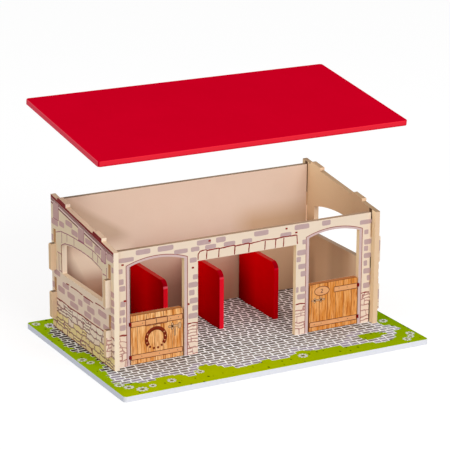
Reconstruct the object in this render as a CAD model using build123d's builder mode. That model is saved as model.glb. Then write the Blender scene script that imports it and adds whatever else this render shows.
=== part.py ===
"""Toy stable with a lift-off roof and two half-doors, cut from flat boards (millimetres).

The frame has +Z up, the open front faces -Y, and the origin is the middle of the
base board's underside. Heights of the house are measured up from the floor, which
is the base board's top face.
"""

from build123d import *

import os
from math import cos, radians, sin, tan

os.makedirs("parts", exist_ok=True)

# ---------------------------------------------------------------- boards
board = 7.5                   # thickness of every upright board
painted_arris = 1.2           # rounder edge under gloss paint

# ---------------------------------------------------------------- base board
base_width = 480.0
base_depth = 327.0
base_thickness = 8.0
base_corner_radius = 5.0
base_arris = 0.8

# ---------------------------------------------------------------- house
house_width = 421.4           # over the outer faces of the side walls
house_depth = 206.8           # front edge to back edge of a side wall
house_centre_y = 30.9
eaves_height = 169.1          # side wall at its front edge
roof_pitch = 8.0              # degrees, rising to the back
front_wall_setback = 9.4      # front wall's face behind the side walls' front edges
back_wall_setback = 7.6       # back wall's face in front of the side walls' back edges
front_wall_height = 166.5
back_wall_height = 193.1
wall_end_gap = 1.6            # end of a cross wall to the side wall's inner face

# ---------------------------------------------------------------- side windows
window_width = 134.0
window_sill_height = 89.0
window_spring_height = 132.3
window_rise = 9.0

# ---------------------------------------------------------------- front openings
doorway_width = 83.5
doorway_centre_x = 141.0
doorway_spring_height = 142.6
doorway_rise = 7.2
middle_opening_width = 156.4
middle_opening_height = 135.6

# ---------------------------------------------------------------- hooks and their slots
hook_tops = (56.7, 128.7)     # top edge of the lower and the upper hook
neck_height = 24.6            # part of a hook that stands in its slot
lip_drop = 15.0               # part of a hook that hangs below its neck
hook_reach = 8.2              # hook's end beyond the side wall's outer face
hook_corner_radius = 2.0
lip_gap = 0.3                 # lip's inner face to the side wall
slot_headroom = 20.8          # open slot above a seated hook
slot_side_gap = 0.2
slot_floor_gap = 0.2          # neck's underside to the slot's lower end

# ---------------------------------------------------------------- tenons into the base
tenon_depth = 7.4
tenon_side_gap = 0.2
side_wall_tenon = 34.0
side_wall_tenon_spread = 120.0
back_wall_tenon = 40.0
back_wall_tenon_spread = 260.0
post_tenon = 12.0
divider_tenon = 18.0
divider_tenon_spread = 60.0

# ---------------------------------------------------------------- roof
roof_width = 481.0
roof_depth = 241.5            # along the slope
roof_thickness = 8.0
roof_front_overhang = 19.0    # beyond the side walls, level
roof_corner_radius = 4.5
roof_arris = 1.0
roof_lift = 130.0             # how far above its seat the roof is held
bump_length = 29.0
bump_height = 4.6
bump_front_radius = 1.0       # steep front end
bump_back_radius = 4.2        # rounder back end
bump_centres_y = (-20.5, 97.5)
bump_end_gap = 1.4            # lets the pitched roof lift straight up
bump_side_gap = 0.5
bump_top_gap = 0.3

# ---------------------------------------------------------------- stall dividers
stall_width = 82.5            # clear width between two dividers
divider_offset_x = -2.0
divider_depth = 106.2
divider_height = 87.0
divider_nose_radius = 12.0
divider_toe_radius = 1.5
divider_back_gap = 4.5

# ---------------------------------------------------------------- half-doors
door_top_height = 72.2
door_floor_gap = 0.8
door_hinge_gap = 0.8
door_free_gap = 1.8
door_corner_radius = 3.5
door_arris = 0.6

# ---------------------------------------------------------------- door hinges
hinge_heights = {"lower": 11.8, "upper": 60.0}
knuckle_radius = 2.0
knuckle_height = 2.3
knuckle_gap = 0.2             # between the two knuckles of a hinge
knuckle_room = 0.3            # notch in the boards around the knuckles
pin_radius = 0.8
pin_running_gap = 0.05
pin_fixed_gap = 0.01
leaf_thickness = 0.8
leaf_depth = 4.0
leaf_room = 0.1               # mortise around a leaf
peg_radius = 1.0
peg_length = 7.0
peg_gap = 0.02
knuckle_arris = 0.3

# ---------------------------------------------------------------- worked out
floor_z = base_thickness
half_outer = house_width / 2
half_inner = half_outer - board
front_edge_y = house_centre_y - house_depth / 2
back_edge_y = house_centre_y + house_depth / 2
front_face_y = front_edge_y + front_wall_setback
front_wall_back_y = front_face_y + board
back_wall_outer_y = back_edge_y - back_wall_setback
back_wall_inner_y = back_wall_outer_y - board
cross_wall_half = half_inner - wall_end_gap
pitch_rise = tan(radians(roof_pitch))

jamb_x = doorway_centre_x + doorway_width / 2
door_hinge_edge_x = jamb_x - door_hinge_gap
door_free_edge_x = doorway_centre_x - doorway_width / 2 + door_free_gap
door_width = door_hinge_edge_x - door_free_edge_x
hinge_axis_x = jamb_x - door_hinge_gap / 2
hinge_total = 2 * knuckle_height + knuckle_gap
leaf_front_y = front_face_y + knuckle_radius + knuckle_room
leaf_middle_y = leaf_front_y + leaf_depth / 2
mortise_back_y = leaf_front_y + leaf_depth + leaf_room

side_wall_tenon_ys = [house_centre_y + k * side_wall_tenon_spread / 2 for k in (-1, 1)]
back_wall_tenon_xs = [k * back_wall_tenon_spread / 2 for k in (-1, 1)]
outer_post_x = (jamb_x + cross_wall_half) / 2
inner_post_x = (doorway_centre_x - doorway_width / 2 + middle_opening_width / 2) / 2
post_tenon_xs = [-outer_post_x, -inner_post_x, inner_post_x, outer_post_x]
divider_back_y = back_wall_inner_y - divider_back_gap
divider_middle_y = divider_back_y - divider_depth / 2
divider_tenon_ys = [divider_middle_y + k * divider_tenon_spread / 2 for k in (-1, 1)]
divider_xs = {
    name: divider_offset_x + k * (stall_width + board)
    for name, k in (("left_divider", -1), ("middle_divider", 0), ("right_divider", 1))
}


def slope_z(y):
    """Height of the side walls' sloping top edge at a given y."""
    return floor_z + eaves_height + (y - front_edge_y) * pitch_rise


def bump_corner(centre_y, end):
    """Where a locating bump's top meets its front end (-1) or its back end (1)."""
    reach = Vector(end * bump_length / 2, bump_height).rotate(Axis.Z, roof_pitch)
    return Vector(centre_y, slope_z(centre_y)) + reach


def level(height):
    """Absolute z of a height above the floor."""
    return floor_z + height


def facing_front(y):
    """Plane of a cross wall's back face; an extrude from it runs to the front."""
    return Plane.XZ.offset(-y)


def arched_opening(centre, width, bottom, spring, rise):
    """Cut a straight-sided opening with a segmental arch out of the sketch."""
    left, right = centre - width / 2, centre + width / 2
    with BuildLine(Plane.XY) as outline:
        Polyline((left, spring), (left, bottom), (right, bottom), (right, spring))
        ThreePointArc((left, spring), (centre, spring + rise), (right, spring))
    make_face(outline.edges(), mode=Mode.SUBTRACT)


def tenons(places, length):
    """Add a row of tenons under a board whose sketch has z as its second axis."""
    with Locations(*[(place, floor_z) for place in places]):
        Rectangle(length, 2 * tenon_depth)


def hooks():
    """Add the two hooks at each end of a cross wall."""
    lip_inner, lip_outer = half_outer + lip_gap, half_outer + hook_reach
    lip_middle, lip_width = (lip_inner + lip_outer) / 2, lip_outer - lip_inner
    neck_root = cross_wall_half - board
    for end in (-1, 1):
        for top in hook_tops:
            with Locations((end * (neck_root + lip_middle) / 2, level(top - neck_height / 2))):
                Rectangle(lip_middle - neck_root, neck_height)
            with Locations((end * lip_middle, level(top - (neck_height + lip_drop) / 2))):
                RectangleRounded(lip_width, neck_height + lip_drop, hook_corner_radius)


def slots(y):
    """Cut the two slots that take one cross wall's hooks out of a side wall."""
    for top in hook_tops:
        low = top - neck_height - slot_floor_gap
        high = top + slot_headroom
        with Locations((y, level((low + high) / 2))):
            Rectangle(board + 2 * slot_side_gap, high - low, mode=Mode.SUBTRACT)


def hinge_pocket(side, edge_x, into, middle_z):
    """Cut the room of one hinge leaf out of a board's edge: notch, mortise and peg hole."""
    mortise_depth = leaf_thickness + leaf_room
    hole_depth = leaf_thickness + peg_length + leaf_room
    with Locations((side * hinge_axis_x, front_face_y, middle_z)):
        Cylinder(knuckle_radius + knuckle_room, hinge_total + 2 * knuckle_room, mode=Mode.SUBTRACT)
    mortise_x = side * (edge_x + into * mortise_depth / 2)
    with Locations((mortise_x, (front_face_y + mortise_back_y) / 2, middle_z)):
        Box(mortise_depth, mortise_back_y - front_face_y, hinge_total + 2 * leaf_room, mode=Mode.SUBTRACT)
    with Locations((side * (edge_x + into * hole_depth / 2), leaf_middle_y, middle_z)):
        Cylinder(peg_radius + peg_gap, hole_depth, rotation=(0, 90, 0), mode=Mode.SUBTRACT)


def hinge_leaf(side, edge_x, into, middle_z, knuckle_middle_z, bore_gap):
    """One moulded hinge leaf: a knuckle, a pad let into the board's edge and a peg."""
    pad_x = side * (edge_x + into * leaf_thickness / 2)
    with BuildPart() as leaf:
        with Locations((side * hinge_axis_x, front_face_y, knuckle_middle_z)):
            Cylinder(knuckle_radius, knuckle_height)
        fillet(leaf.edges().filter_by(GeomType.CIRCLE), knuckle_arris)
        with Locations((pad_x, (front_face_y + leaf_front_y) / 2, knuckle_middle_z)):
            Box(leaf_thickness, leaf_front_y - front_face_y, knuckle_height - 2 * knuckle_arris)
        with Locations((pad_x, leaf_middle_y, middle_z)):
            Box(leaf_thickness, leaf_depth, hinge_total)
        peg_x = side * (edge_x + into * (leaf_thickness + peg_length) / 2)
        with Locations((peg_x, leaf_middle_y, middle_z)):
            Cylinder(peg_radius, leaf_thickness + peg_length, rotation=(0, 90, 0))
        with Locations((side * hinge_axis_x, front_face_y, knuckle_middle_z)):
            Cylinder(pin_radius + bore_gap, knuckle_height, mode=Mode.SUBTRACT)
    return leaf


# ---------------------------------------------------------------- base board
with BuildPart() as base_board:
    with BuildSketch():
        RectangleRounded(base_width, base_depth, base_corner_radius)
    extrude(amount=base_thickness)
    fillet(base_board.faces().sort_by(Axis.Z)[-1].edges(), base_arris)
    with BuildSketch():
        wide = board + 2 * tenon_side_gap
        with Locations(*[(s * (half_outer - board / 2), y) for s in (-1, 1) for y in side_wall_tenon_ys]):
            Rectangle(wide, side_wall_tenon + 2 * tenon_side_gap)
        with Locations(*[(x, front_face_y + board / 2) for x in post_tenon_xs]):
            Rectangle(post_tenon + 2 * tenon_side_gap, wide)
        with Locations(*[(x, back_wall_inner_y + board / 2) for x in back_wall_tenon_xs]):
            Rectangle(back_wall_tenon + 2 * tenon_side_gap, wide)
        with Locations(*[(x, y) for x in divider_xs.values() for y in divider_tenon_ys]):
            Rectangle(wide, divider_tenon + 2 * tenon_side_gap)
    extrude(amount=base_thickness, mode=Mode.SUBTRACT)

# ---------------------------------------------------------------- side walls
with BuildPart() as left_side_wall:
    with BuildSketch(Plane.YZ.offset(-half_outer)):
        with BuildLine():
            Polyline(
                (front_edge_y, floor_z),
                (back_edge_y, floor_z),
                (back_edge_y, slope_z(back_edge_y)),
                (front_edge_y, slope_z(front_edge_y)),
                close=True,
            )
        make_face()
        with Locations(*[Location((y, slope_z(y)), (0, 0, roof_pitch)) for y in bump_centres_y]):
            Rectangle(bump_length, 2 * bump_height)
        for y in bump_centres_y:
            fillet(vertices().sort_by_distance(bump_corner(y, -1))[0], bump_front_radius)
            fillet(vertices().sort_by_distance(bump_corner(y, 1))[0], bump_back_radius)
        tenons(side_wall_tenon_ys, side_wall_tenon)
        arched_opening(
            house_centre_y,
            window_width,
            level(window_sill_height),
            level(window_spring_height),
            window_rise,
        )
        slots(front_face_y + board / 2)
        slots(back_wall_inner_y + board / 2)
    extrude(amount=board)

with BuildPart() as right_side_wall:
    mirror(left_side_wall.part, about=Plane.YZ)

# ---------------------------------------------------------------- back wall
with BuildPart() as back_wall:
    with BuildSketch(facing_front(back_wall_outer_y)):
        with Locations((0, level(back_wall_height / 2))):
            Rectangle(2 * cross_wall_half, back_wall_height)
        tenons(back_wall_tenon_xs, back_wall_tenon)
        hooks()
    extrude(amount=board)

# ---------------------------------------------------------------- front wall
with BuildPart() as front_wall:
    with BuildSketch(facing_front(front_wall_back_y)):
        with Locations((0, level(front_wall_height / 2))):
            Rectangle(2 * cross_wall_half, front_wall_height)
        for side in (-1, 1):
            arched_opening(
                side * doorway_centre_x,
                doorway_width,
                floor_z,
                level(doorway_spring_height),
                doorway_rise,
            )
        with Locations((0, level(middle_opening_height / 2))):
            Rectangle(middle_opening_width, middle_opening_height, mode=Mode.SUBTRACT)
        tenons(post_tenon_xs, post_tenon)
        hooks()
    extrude(amount=board)
    for side in (-1, 1):
        for height in hinge_heights.values():
            hinge_pocket(side, jamb_x, 1, level(height))

# ---------------------------------------------------------------- stall dividers
dividers = {}
for name, x in divider_xs.items():
    side_face = Plane.YZ.offset(x - board / 2)
    with BuildPart() as divider:
        with BuildSketch(side_face):
            with Locations((divider_middle_y, level(divider_height / 2))):
                Rectangle(divider_depth, divider_height)
            fillet(vertices().group_by(Axis.X)[0].sort_by(Axis.Y)[-1], divider_nose_radius)
            fillet(vertices().group_by(Axis.X)[0].sort_by(Axis.Y)[0], divider_toe_radius)
        extrude(amount=board)
        for face in divider.faces().filter_by(Axis.X):
            all_but_back = face.edges().sort_by(Axis.Y)[:-1]
            fillet(all_but_back.sort_by(Axis.Z)[1:], painted_arris)
        with BuildSketch(side_face):
            tenons(divider_tenon_ys, divider_tenon)
        extrude(amount=board)
    dividers[name] = divider

# ---------------------------------------------------------------- roof
roof_front_y = front_edge_y - roof_front_overhang
roof_seat = Plane(
    origin=(0, roof_front_y, slope_z(roof_front_y) + roof_lift),
    x_dir=(1, 0, 0),
    z_dir=(0, -sin(radians(roof_pitch)), cos(radians(roof_pitch))),
)

with BuildPart() as roof_panel:
    with BuildSketch(roof_seat):
        with Locations((0, roof_depth / 2)):
            RectangleRounded(roof_width, roof_depth, roof_corner_radius)
    extrude(amount=roof_thickness)
    broad_faces = roof_panel.faces().sort_by(SortBy.AREA)[-2:]
    fillet(broad_faces.edges(), roof_arris)
    with BuildSketch(roof_seat):
        for y in bump_centres_y:
            along = (y - roof_front_y) / cos(radians(roof_pitch))
            with Locations(*[(side * (half_outer - board / 2), along) for side in (-1, 1)]):
                Rectangle(board + 2 * bump_side_gap, bump_length + 2 * bump_end_gap)
    extrude(amount=bump_height + bump_top_gap, mode=Mode.SUBTRACT)

# ---------------------------------------------------------------- half-doors and hinges
doors = {}
hinge_parts = {}
for side_name, side in (("left", -1), ("right", 1)):
    with BuildPart() as door:
        with BuildSketch(facing_front(front_wall_back_y)):
            middle_x = side * (door_hinge_edge_x + door_free_edge_x) / 2
            with Locations((middle_x, level((door_top_height + door_floor_gap) / 2))):
                Rectangle(door_width, door_top_height - door_floor_gap)
        extrude(amount=board)
        fillet(door.edges().filter_by(Axis.Y).group_by(Axis.Z)[-1], door_corner_radius)
        fillet(door.faces().sort_by(Axis.Y)[0].edges(), door_arris)
        for height in hinge_heights.values():
            hinge_pocket(side, door_hinge_edge_x, -1, level(height))
    doors[f"{side_name}_door"] = door

    for place, height in hinge_heights.items():
        middle_z = level(height)
        knuckle_shift = (knuckle_height + knuckle_gap) / 2
        hinge = f"{side_name}_door_{place}_hinge"
        hinge_parts[f"{hinge}_frame_leaf"] = hinge_leaf(
            side, jamb_x, 1, middle_z, middle_z - knuckle_shift, pin_fixed_gap
        )
        hinge_parts[f"{hinge}_door_leaf"] = hinge_leaf(
            side, door_hinge_edge_x, -1, middle_z, middle_z + knuckle_shift, pin_running_gap
        )
        with BuildPart() as pin:
            with Locations((side * hinge_axis_x, front_face_y, middle_z)):
                Cylinder(pin_radius, hinge_total)
        hinge_parts[f"{hinge}_pin"] = pin

# ---------------------------------------------------------------- files
pieces = {
    "base_board": base_board,
    "left_side_wall": left_side_wall,
    "right_side_wall": right_side_wall,
    "front_wall": front_wall,
    "back_wall": back_wall,
    "roof_panel": roof_panel,
    **dividers,
    **doors,
    **hinge_parts,
}
for name, piece in pieces.items():
    piece.part.label = name
    export_step(piece.part, f"parts/{name}.step")
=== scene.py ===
# %% [markdown]
# # A toy stable, dressed
# The toy is a set of flat fibreboards. Masonry, planks, grass and cobbles are printed
# on them, and the roof and the stall dividers are painted red. The boards come from
# the CAD model as fixed pieces, so this lesson is about their skin: inks, paints and
# bare board. Sizes are in millimetres, as a toy maker thinks in them, and become
# Blender's metres at the last moment.

import math
import random
from functools import partialmethod

import bpy
from mathutils import Matrix, Vector


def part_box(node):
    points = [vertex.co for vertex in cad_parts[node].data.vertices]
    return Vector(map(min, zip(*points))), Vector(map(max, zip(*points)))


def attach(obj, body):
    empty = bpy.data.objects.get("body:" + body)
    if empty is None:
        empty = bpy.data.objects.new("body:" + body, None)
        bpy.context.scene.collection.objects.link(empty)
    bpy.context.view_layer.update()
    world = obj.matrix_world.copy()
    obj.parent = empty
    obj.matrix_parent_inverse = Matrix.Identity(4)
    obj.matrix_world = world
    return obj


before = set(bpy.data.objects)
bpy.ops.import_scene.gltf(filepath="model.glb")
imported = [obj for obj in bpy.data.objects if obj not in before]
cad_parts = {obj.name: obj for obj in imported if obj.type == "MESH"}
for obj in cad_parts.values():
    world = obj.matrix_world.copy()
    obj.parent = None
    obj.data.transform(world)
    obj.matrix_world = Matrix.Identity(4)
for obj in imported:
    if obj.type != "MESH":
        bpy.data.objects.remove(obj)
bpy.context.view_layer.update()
mm = 0.001


def dress(name, material):
    """Give a board its skin. The board's shape stays as it is."""
    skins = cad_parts[name].data.materials
    skins.clear()
    skins.append(material)
    print(name, "wears", material.name)


def put(name, data):
    """Put new data into the scene as an object."""
    made = bpy.data.objects.new(name, data)
    bpy.context.scene.collection.objects.link(made)
    return made


print("pieces from CAD:", len(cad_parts))

# %% [markdown]
# ## Where the boards stand
# Prints have to land on the boards, so the places are read from the boards' own
# boxes. A print is laid out flat, as on a printer's sheet, and then carried to its
# board: across, up and outwards.

# %% Places of the boards, in millimetres


def board_box(name):
    """Lowest and highest corner of a board, in millimetres."""
    low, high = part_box(name)
    return low / mm, high / mm


base_high = board_box("base_board")[1]
floor_z = base_high.z
front_face_y = board_box("front_wall")[0].y
board = board_box("front_wall")[1].y - front_face_y
back_face_y = board_box("back_wall")[1].y
cross_walls_y = front_face_y, back_face_y - board
side_low, side_high = board_box("right_side_wall")
half_width = side_high.x
door_low, door_high = board_box("right_door")
slope = math.tan(math.radians(8.0))
eaves_z = floor_z + 169.1

print(f"floor at {floor_z:.1f}, front at {front_face_y:.1f}, half width {half_width:.1f}")

# %% [markdown]
# ## The camera
# The toy is seen from its front left and a little from above. A long lens from far
# away keeps the boards' edges nearly parallel, as in a catalogue. A small shift of the
# lens centres the toy without turning the camera.

# %% Camera
camera_place = Vector((-1.3380, -2.4722, 1.0368))
camera_turns = ((-28.49, "Z"), (90 - 17.26, "X"), (0.307, "Z"))  # degrees, about an axis

lens = bpy.data.cameras.new("catalogue_camera")
lens.sensor_width = 36
lens.lens = 166.44
lens.shift_x = -0.0080
lens.shift_y = 0.0051
stand = Matrix.Translation(camera_place)
for degrees, axis in camera_turns:
    stand = stand @ Matrix.Rotation(math.radians(degrees), 4, axis)
camera = put("catalogue_camera", lens)
camera.matrix_world = stand
bpy.context.scene.camera = camera
print("camera looks from", tuple(round(v, 3) for v in camera_place))

# %% [markdown]
# ## Writing node trees as sums
# Blender draws materials and Geometry Nodes as trees of nodes. A long tree is easier
# to read as a formula, so a small class wraps one socket and turns +, -, * and /
# into Math nodes. Any other node comes from one method, node().

# %% Sockets and graphs


class Socket:
    """A number on its way through a node tree."""

    def __init__(self, graph, link):
        self.graph = graph
        self.link = link

    def maths(self, operation, *others, clamp=False):
        return self.graph.maths(operation, self, *others, clamp=clamp)

    __add__ = __radd__ = partialmethod(maths, "ADD")
    __sub__ = partialmethod(maths, "SUBTRACT")
    __mul__ = partialmethod(maths, "MULTIPLY")
    __truediv__ = partialmethod(maths, "DIVIDE")
    __abs__ = partialmethod(maths, "ABSOLUTE")
    least = partialmethod(maths, "MINIMUM")
    most = partialmethod(maths, "MAXIMUM")

    def __rsub__(self, other):
        return self.graph.maths("SUBTRACT", other, self)

    def split(self):
        """The whole number below, and what is left over."""
        whole = self.maths("FLOOR")
        return whole, self - whole

    def to_ends(self, length):
        """From a share of a length: how far the nearer end of that length is."""
        return (0.5 - abs(self - 0.5)) * length

    def rise(self, edge, soft):
        """0 below the edge and 1 above it, with a soft step between."""
        return (self - edge).maths("MULTIPLY_ADD", 1 / soft, 0.5, clamp=True)

    def fall(self, edge, soft):
        return 1 - self.rise(edge, soft)

    def within(self, low, high, soft):
        return self.rise(low, soft) * self.fall(high, soft)


class Graph:
    """A node tree under construction, empty at the start."""

    def __init__(self, tree):
        self.tree = tree
        tree.nodes.clear()

    def node(self, kind, settings, *values, **named):
        """Add a node, set it up, then feed its sockets in order or by name."""
        made = self.tree.nodes.new(kind)
        for name, value in settings.items():
            if name == "curve":
                self.set_curve(made.mapping, value)
            else:
                setattr(made, name, value)
        open_sockets = [s for s in made.inputs if s.enabled]
        for socket, value in zip(open_sockets, values):
            self.feed(socket, value)
        by_name = {s.name.replace(" ", "_"): s for s in reversed(open_sockets)}
        for name, value in named.items():
            self.feed(by_name[name], value)
        return {s.name: Socket(self, s) for s in reversed(made.outputs) if s.enabled}

    def shape(self, kind, settings, *values, **named):
        """Add a geometry node and take the shape that it puts out."""
        made = self.node(f"GeometryNode{kind}", settings, *values, **named)
        return made.get("Mesh") or made.get("Geometry") or made.get("Curve") or made["Instances"]

    def feed(self, socket, value):
        """A list is several links into one socket; a tuple with sockets in it is a vector."""
        if isinstance(value, Socket):
            self.tree.links.new(value.link, socket)
        elif isinstance(value, list):
            for part in value:
                self.tree.links.new(part.link, socket)
        elif isinstance(value, tuple) and any(isinstance(part, Socket) for part in value):
            self.feed(socket, self.node("ShaderNodeCombineXYZ", {}, *value)["Vector"])
        elif socket.type == "RGBA" and len(value) == 3:
            socket.default_value = (*value, 1)
        else:
            socket.default_value = value

    def set_curve(self, mapping, points):
        """A curve through the points, extended level at both ends."""
        line = mapping.curves[0].points
        mapping.use_clip = False
        mapping.extend = "HORIZONTAL"
        while len(line) < len(points):
            line.new(0, 0)
        for knot, place in zip(line, points):
            knot.location = place
        mapping.update()

    def maths(self, operation, *values, clamp=False):
        settings = {"operation": operation, "use_clamp": clamp}
        return self.node("ShaderNodeMath", settings, *values)["Value"]

    def vector(self, operation, *values, **named):
        return self.node("ShaderNodeVectorMath", {"operation": operation}, *values, **named)["Vector"]

    def axes(self, place):
        apart = self.node("ShaderNodeSeparateXYZ", {}, place)
        return apart["X"], apart["Y"], apart["Z"]

    def mix(self, factor, first, second):
        return self.node("ShaderNodeMix", {"data_type": "RGBA"}, factor, first, second)["Result"]

    def coats(self, colour, *coats):
        """Lay coats over a colour, the lowest first: how much of each, and its ink."""
        for amount, coat in coats:
            colour = self.mix(amount, colour, coat)
        return colour

    def noise(self, place, size, detail=2.0, roughness=0.5):
        """A soft random pattern whose blobs are about size across, from 0 to 1."""
        sizes = {"Scale": 1 / size, "Detail": detail, "Roughness": roughness}
        return self.node("ShaderNodeTexNoise", {}, place, **sizes)["Fac"]

    def dice(self, number, dimensions="1D"):
        """A random number from 0 to 1 that belongs to the number it is given."""
        return self.node("ShaderNodeTexWhiteNoise", {"noise_dimensions": dimensions}, number)["Value"]


def ink(red, green, blue):
    """A colour as a printer names it, 0 to 255, as Blender's linear light."""

    def linear(v):
        v = v / 255
        return v / 12.92 if v <= 0.04045 else ((v + 0.055) / 1.055) ** 2.4

    return tuple(linear(v) for v in (red, green, blue))


# %% [markdown]
# ## One kind of material for every board
# All finishes read the place on the object in millimetres. A board never moves
# inside its own body, so a pattern laid out in these coordinates stays put, even on
# a door that swings.

# %% Finish


class Finish(Graph):
    """A material that knows the place on the object in millimetres."""

    def __init__(self, name):
        self.material = bpy.data.materials.new(name)
        self.material.use_nodes = True
        super().__init__(self.material.node_tree)
        place = self.node("ShaderNodeTexCoord", {})["Object"]
        self.place = self.vector("SCALE", place, Scale=1 / mm)
        self.x, self.y, self.z = self.axes(self.place)
        self.height = self.z - floor_z

    def clouds(self, size, detail=2.0, roughness=0.5, stretch=None):
        """Noise at the point's own place; stretch makes the blobs long one way."""
        place = self.vector("MULTIPLY", self.place, stretch) if stretch else self.place
        return self.noise(place, size, detail, roughness)

    def speckle(self, colour, other, size):
        """A colour that drifts towards another in blobs of one size."""
        return self.mix(self.clouds(size, 3.0), colour, other)

    def surface(self, colour, roughness, bump=None, depth=0.05, shine=0.5, **constants):
        """Close the material with one Principled shader; depth is how high bumps stand."""
        named = {"Base_Color": colour, "Roughness": roughness, "Specular_IOR_Level": shine}
        if bump is not None:
            bumped = self.node("ShaderNodeBump", {}, Height=bump, Distance=depth * mm)
            named["Normal"] = bumped["Normal"]
        shader = self.node("ShaderNodeBsdfPrincipled", {}, **named, **constants)["BSDF"]
        self.node("ShaderNodeOutputMaterial", {}, shader)
        return self.material


# %% [markdown]
# ## Stones in rows
# Two of the prints show stones in rows: the cobbles on the ground and the rubble at
# the foot of the walls. A row's number is its height divided by the row's height,
# rounded down, and a stone's number is found in the same way along the row. What is
# left over says where a point lies within its stone. Noise makes the rows wave and
# the stones differ in length, and each stone gets a tint of its own.

# %% Rows of stones


class Courses:
    """Rows of stones, and where a point lies among them."""

    def __init__(self, finish, across, up, length, height, wave, lean, seed):
        up = (up + (finish.clouds(15) - 0.5) * wave) / height
        self.row, self.in_row = up.split()
        start = finish.dice(self.row + seed)
        drift = finish.noise((across, self.row * 40 + seed), 26, 1.0) - 0.5
        tilt = finish.noise((across, self.row * 31), 9, 1.0) - 0.5
        along = (across + drift * length + tilt * self.in_row * lean) / length + start * 5
        self.stone, self.in_stone = along.split()
        self.tint = finish.dice((self.row, self.stone), "2D")
        self.to_bed = self.in_row.to_ends(height)
        self.to_head = self.in_stone.to_ends(length)


# %% [markdown]
# ## Bare fibreboard
# Inside the house and on every cut edge the board is bare. Fibreboard is pressed
# from fine wood fibres: its faces are a smooth, pinkish tan with faint short fibres.
# The stalls are painted darker towards the floor, a little differently in each bay,
# as painted shade. The inside also carries painted shade in its corners and joints, a
# painted shadow of the left wall and painted pools of light. Sawn edges are paler,
# with fine streaks, and edges that look up are painted browner, as painted shade. The
# side walls' edges are painted lighter on the left than on the right. Every wall needs
# all of this behind its print, so one function gives it. It asks how deep below the
# print a point lies. Where two inks stand together, the board drifts between them.

# %% Bare board
cross_face = ink(215, 190, 168), ink(228, 206, 188)
side_face = ink(188, 157, 122), ink(230, 203, 162)
# The inks from here to the joints' ink paint light and shade on the bare board: painted pools of light,
# painted shade and painted shadow.
window_light_tan = ink(255, 240, 216)
ruddy_brown = ink(206, 126, 88)
umber_brown = ink(112, 56, 34)
right_bay_shade = ink(200, 166, 130)
foot_shade_brown = ink(166, 118, 86)
deep_shade_brown = ink(112, 74, 54)
left_shadow_brown = ink(149, 116, 74)
lit_tan = ink(255, 234, 198)
joint_shadow = ink(104, 76, 56)
sawn_edge = ink(240, 213, 180), ink(249, 233, 209)
# The next four inks are painted light and shade too: darker sawn ends, a lighter strip in front of the
# front wall, lighter faces at the cross walls' ends and darker slots.
sawn_end_shade = ink(238, 203, 162)
side_front_light = ink(255, 228, 186)
hook_painted_light = ink(255, 224, 190)
slot_shade_tan = ink(240, 202, 154)
streak_brown = ink(120, 96, 74)
skin_depth = 0.05
skin_soft = 0.02


def board_fibres(finish):
    return finish.clouds(0.9, 2.0, 0.7, stretch=(1, 1, 0.35))


def bare_board(finish, depth, broad, fibres, sawn_inks, crown, crown_shade_ink, streaky=0.5):
    """Colour of bare board; crown is 1 on the edges that look up, which are painted darker, as painted
    shade.
    """
    sawn = finish.mix(fibres * 0.6 + finish.clouds(60, 3) * 0.3, *sawn_inks)
    streaks = finish.clouds(0.8, stretch=(1, 0.2, 1))
    sawn = finish.mix(crown, sawn, finish.mix(streaks * streaky, crown_shade_ink, streak_brown))
    return finish.mix(depth.within(skin_depth, board - skin_depth, skin_soft), broad, sawn)


def stall_face(finish, fibres):
    """Face of a cross wall in painted light and shade: darker towards the floor, in the middle and
    right bays and in the left corner, a painted shadow of the left wall, and a painted pool of window
    light.
    """
    x, height = finish.x, finish.height
    clouds = finish.clouds(60, 3)
    by_left_wall = x.fall(-100, 30)
    in_right_bay = x.rise(90, 40)
    below_eaves = height.fall(130, 30)
    other_bays = 1 - in_right_bay * 0.85
    # Painted shade: darker towards the floor, reaching higher near the left wall.
    wall_foot_shade = (height + by_left_wall * 28).fall(88, 60) * (clouds * 0.3 + 0.35) * other_bays
    # Painted shadow of the left wall across the back wall's upper left.
    left_wall_shadow = (height + x * 0.65).fall(65, 12) * height.rise(118, 20) * by_left_wall
    # Over the board's own tone, every coat below is painted light and shade.
    return finish.coats(
        finish.mix(fibres * 0.35 + clouds * 0.65, *cross_face),
        (wall_foot_shade, foot_shade_brown),
        (height.fall(30, 50) * other_bays * 0.4, deep_shade_brown),
        (x.within(0, 86, 2) * height.fall(56, 50) * 0.35, ruddy_brown),
        (x.within(-90, -3, 2) * height.fall(54, 40) * 0.45, umber_brown),
        (in_right_bay * below_eaves * 0.85, right_bay_shade),
        (left_wall_shadow * 0.36, left_shadow_brown),
        (x.fall(-190, 11) * below_eaves * 0.75, deep_shade_brown),
        (height.fall(66, 50) * by_left_wall * 0.75, foot_shade_brown),
        # Painted light: a pool of window light by the left wall.
        (height.within(74, 112, 20) * by_left_wall * 0.65, window_light_tan),
        ((height * 0.5 + x).fall(-140, 18) * 0.68, umber_brown),
    )


def inner_side_face(finish, fibres):
    """Inner face of a side wall, all in painted light and shade: its tone shifts with
    height and depth; a strip, the back corner, the foot and the joints where the cross
    walls meet it are darker; a patch near the front and the strip in front of the front
    wall are lighter.
    """
    y, height = finish.y, finish.height
    upper = height.rise(112, 20)
    tone = upper * y.rise(45, 120) + (1 - upper) * height.fall(62, 60)
    strip = y.within(8, 52, 18) * height.fall(100, 16)
    corner = y.rise(94, 10) * height.fall(60, 26)
    foot = height.fall(45, 12) * y.fall(34, 30)
    lit = y.fall(-8, 16) * height.within(48, 100, 12)
    return finish.coats(
        finish.mix(tone * 0.9 + fibres * 0.2 - 0.05, *side_face),
        (strip.most(corner).most(foot) * 0.24, deep_shade_brown),
        (lit * 0.5, lit_tan),
        *((y.within(wall + 0.1, wall + board, 0.2), joint_shadow) for wall in cross_walls_y),
        (y.fall(front_face_y, 0.4), side_front_light),
    )


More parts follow.
